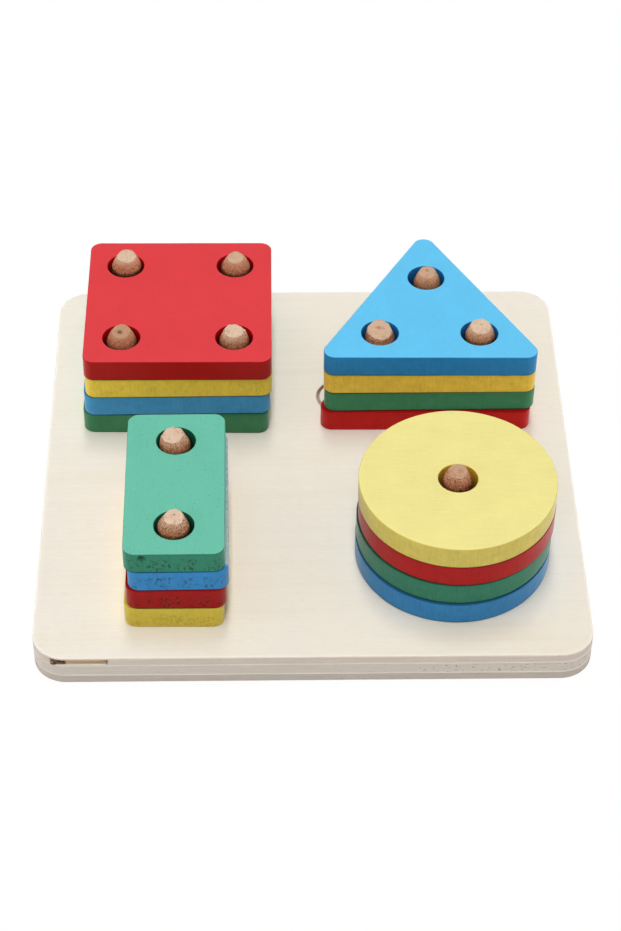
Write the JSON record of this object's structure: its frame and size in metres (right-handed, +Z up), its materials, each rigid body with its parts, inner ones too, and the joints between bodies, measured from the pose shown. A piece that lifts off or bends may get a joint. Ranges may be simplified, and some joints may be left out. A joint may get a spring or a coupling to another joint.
{
  "type": "wooden shape puzzle",
  "caption": "Square plywood board with glued wooden pegs that hold stacks of loose painted square, triangle, rectangle and disc plates, each lifting off its pegs.",
  "frame": {"origin": "centre of the board's underside", "axes": "+Z up along the pegs, +X to the right and +Y to the back as the picture sees it: squares back left, triangles back right, rectangles front left, discs front right"},
  "size_m": [0.14, 0.14, 0.0383],
  "materials": {
    "plywood": "bare sanded plywood with open edges",
    "dowel": "bare porous hardwood, cut tips",
    "paint_red": "thin matte paint on wood",
    "paint_yellow": "thin matte paint on wood",
    "paint_green": "thin matte paint on wood",
    "paint_blue": "thin matte paint on wood"
  },
  "bodies": {
    "peg_board": {"base_board": "plywood", "peg_square_back_left": "dowel", "peg_square_back_right": "dowel", "peg_square_front_left": "dowel", "peg_square_front_right": "dowel", "peg_triangle_back": "dowel", "peg_triangle_front_left": "dowel", "peg_triangle_front_right": "dowel", "peg_rectangle_back": "dowel", "peg_rectangle_front": "dowel", "peg_disc": "dowel"},
    "square_red": {"square_plate_red": "paint_red"},
    "square_yellow": {"square_plate_yellow": "paint_yellow"},
    "square_blue": {"square_plate_blue": "paint_blue"},
    "square_green": {"square_plate_green": "paint_green"},
    "triangle_blue": {"triangle_plate_blue": "paint_blue"},
    "triangle_yellow": {"triangle_plate_yellow": "paint_yellow"},
    "triangle_green": {"triangle_plate_green": "paint_green"},
    "triangle_red": {"triangle_plate_red": "paint_red"},
    "rectangle_green": {"rectangle_plate_green": "paint_green"},
    "rectangle_blue": {"rectangle_plate_blue": "paint_blue"},
    "rectangle_red": {"rectangle_plate_red": "paint_red"},
    "rectangle_yellow": {"rectangle_plate_yellow": "paint_yellow"},
    "disc_yellow": {"disc_plate_yellow": "paint_yellow"},
    "disc_red": {"disc_plate_red": "paint_red"},
    "disc_green": {"disc_plate_green": "paint_green"},
    "disc_blue": {"disc_plate_blue": "paint_blue"}
  },
  "joints": [
    {"name": "square_green_lift", "type": "slide", "parent": "peg_board", "child": "square_green", "axis": [0, 0, 1], "range_m": [0, 0.0313]},
    {"name": "square_blue_lift", "type": "slide", "parent": "square_green", "child": "square_blue", "axis": [0, 0, 1], "range_m": [0, 0.0248]},
    {"name": "square_yellow_lift", "type": "slide", "parent": "square_blue", "child": "square_yellow", "axis": [0, 0, 1], "range_m": [0, 0.0183]},
    {"name": "square_red_lift", "type": "slide", "parent": "square_yellow", "child": "square_red", "axis": [0, 0, 1], "range_m": [0, 0.0118]},
    {"name": "triangle_red_lift", "type": "slide", "parent": "peg_board", "child": "triangle_red", "axis": [0, 0, 1], "range_m": [0, 0.0304]},
    {"name": "triangle_green_lift", "type": "slide", "parent": "triangle_red", "child": "triangle_green", "axis": [0, 0, 1], "range_m": [0, 0.0239]},
    {"name": "triangle_yellow_lift", "type": "slide", "parent": "triangle_green", "child": "triangle_yellow", "axis": [0, 0, 1], "range_m": [0, 0.0174]},
    {"name": "triangle_blue_lift", "type": "slide", "parent": "triangle_yellow", "child": "triangle_blue", "axis": [0, 0, 1], "range_m": [0, 0.0109]},
    {"name": "rectangle_yellow_lift", "type": "slide", "parent": "peg_board", "child": "rectangle_yellow", "axis": [0, 0, 1], "range_m": [0, 0.0308]},
    {"name": "rectangle_red_lift", "type": "slide", "parent": "rectangle_yellow", "child": "rectangle_red", "axis": [0, 0, 1], "range_m": [0, 0.0243]},
    {"name": "rectangle_blue_lift", "type": "slide", "parent": "rectangle_red", "child": "rectangle_blue", "axis": [0, 0, 1], "range_m": [0, 0.0178]},
    {"name": "rectangle_green_lift", "type": "slide", "parent": "rectangle_blue", "child": "rectangle_green", "axis": [0, 0, 1], "range_m": [0, 0.0113]},
    {"name": "disc_blue_lift", "type": "slide", "parent": "peg_board", "child": "disc_blue", "axis": [0, 0, 1], "range_m": [0, 0.0304]},
    {"name": "disc_green_lift", "type": "slide", "parent": "disc_blue", "child": "disc_green", "axis": [0, 0, 1], "range_m": [0, 0.0239]},
    {"name": "disc_red_lift", "type": "slide", "parent": "disc_green", "child": "disc_red", "axis": [0, 0, 1], "range_m": [0, 0.0174]},
    {"name": "disc_yellow_lift", "type": "slide", "parent": "disc_red", "child": "disc_yellow", "axis": [0, 0, 1], "range_m": [0, 0.0109]}
  ]
}
